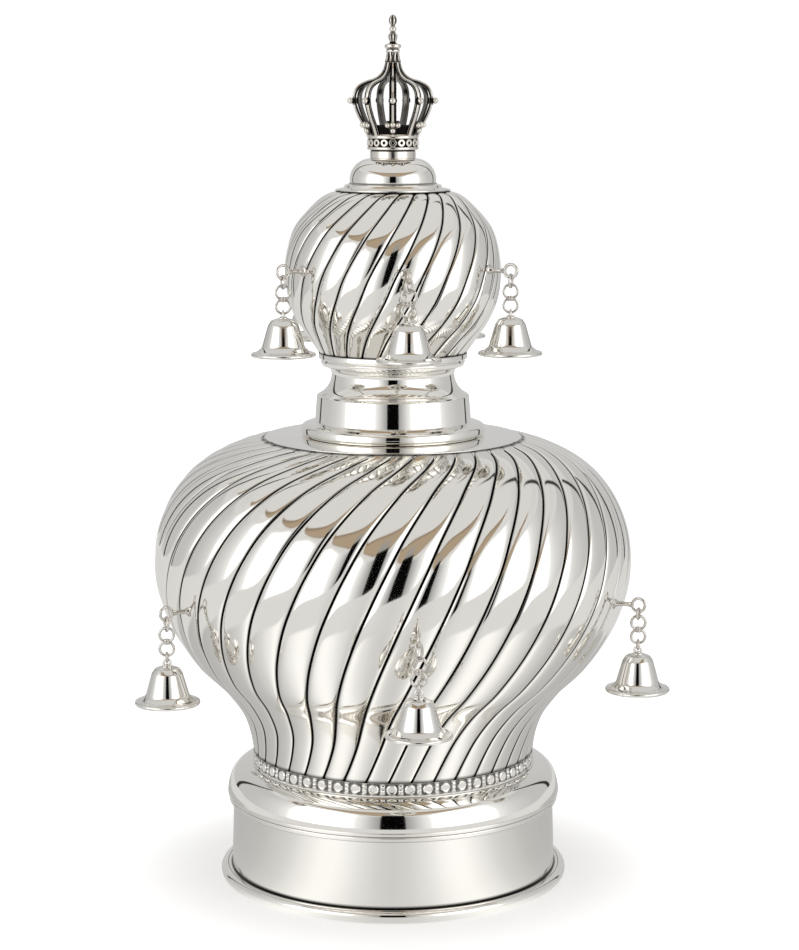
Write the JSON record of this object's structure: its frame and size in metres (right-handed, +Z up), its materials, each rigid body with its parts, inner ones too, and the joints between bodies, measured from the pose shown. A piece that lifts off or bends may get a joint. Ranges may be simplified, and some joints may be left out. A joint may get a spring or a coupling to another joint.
{
  "type": "torah crown",
  "caption": "Silver torah crown: drum foot, two spirally fluted onion bulbs, a small arched finial crown, and two tiers of bells hanging on short chains.",
  "frame": {"origin": "on the crown's axis, in the plane that its foot stands on", "axes": "+Z up along the crown's axis. Azimuths run from -Y towards +X. The bells hang at uneven azimuths, so X and Y have no feature of their own: they are set so that the bells' box is centred on the axis, and the seen front lies at azimuth 40 degrees"},
  "size_m": [0.263, 0.2636, 0.4],
  "materials": {
    "polished_silver": "polished sterling silver with soft handling marks, slightly warm",
    "fluted_silver": "polished silver with dark oxidised lines in the grooves between the flutes",
    "chased_silver": "chased silver, bright on the raised ornament and dark in the ground",
    "cast_silver": "cast silver, strongly oxidised in its recesses with bright worn edges",
    "silver_wire": "drawn silver wire, bright, with dark tarnish where links meet"
  },
  "bodies": {
    "root": {"base_drum": "polished_silver", "base_shoulder": "polished_silver", "gallery_band": "chased_silver", "lower_bulb": "fluted_silver", "neck": "polished_silver", "upper_bulb": "fluted_silver", "cap": "polished_silver", "finial_crown": "cast_silver", "lower_1_stud": "silver_wire", "lower_1_chain": "silver_wire", "lower_1_bell": "polished_silver", "lower_1_clapper": "silver_wire", "lower_2_stud": "silver_wire", "lower_2_chain": "silver_wire", "lower_2_bell": "polished_silver", "lower_2_clapper": "silver_wire", "lower_3_stud": "silver_wire", "lower_3_chain": "silver_wire", "lower_3_bell": "polished_silver", "lower_3_clapper": "silver_wire", "lower_4_stud": "silver_wire", "lower_4_chain": "silver_wire", "lower_4_bell": "polished_silver", "lower_4_clapper": "silver_wire", "lower_5_stud": "silver_wire", "lower_5_chain": "silver_wire", "lower_5_bell": "polished_silver", "lower_5_clapper": "silver_wire", "upper_1_stud": "silver_wire", "upper_1_chain": "silver_wire", "upper_1_bell": "polished_silver", "upper_1_clapper": "silver_wire", "upper_2_stud": "silver_wire", "upper_2_chain": "silver_wire", "upper_2_bell": "polished_silver", "upper_2_clapper": "silver_wire", "upper_3_stud": "silver_wire", "upper_3_chain": "silver_wire", "upper_3_bell": "polished_silver", "upper_3_clapper": "silver_wire", "upper_4_stud": "silver_wire", "upper_4_chain": "silver_wire", "upper_4_bell": "polished_silver", "upper_4_clapper": "silver_wire", "upper_5_stud": "silver_wire", "upper_5_chain": "silver_wire", "upper_5_bell": "polished_silver", "upper_5_clapper": "silver_wire"}
  },
  "joints": []
}
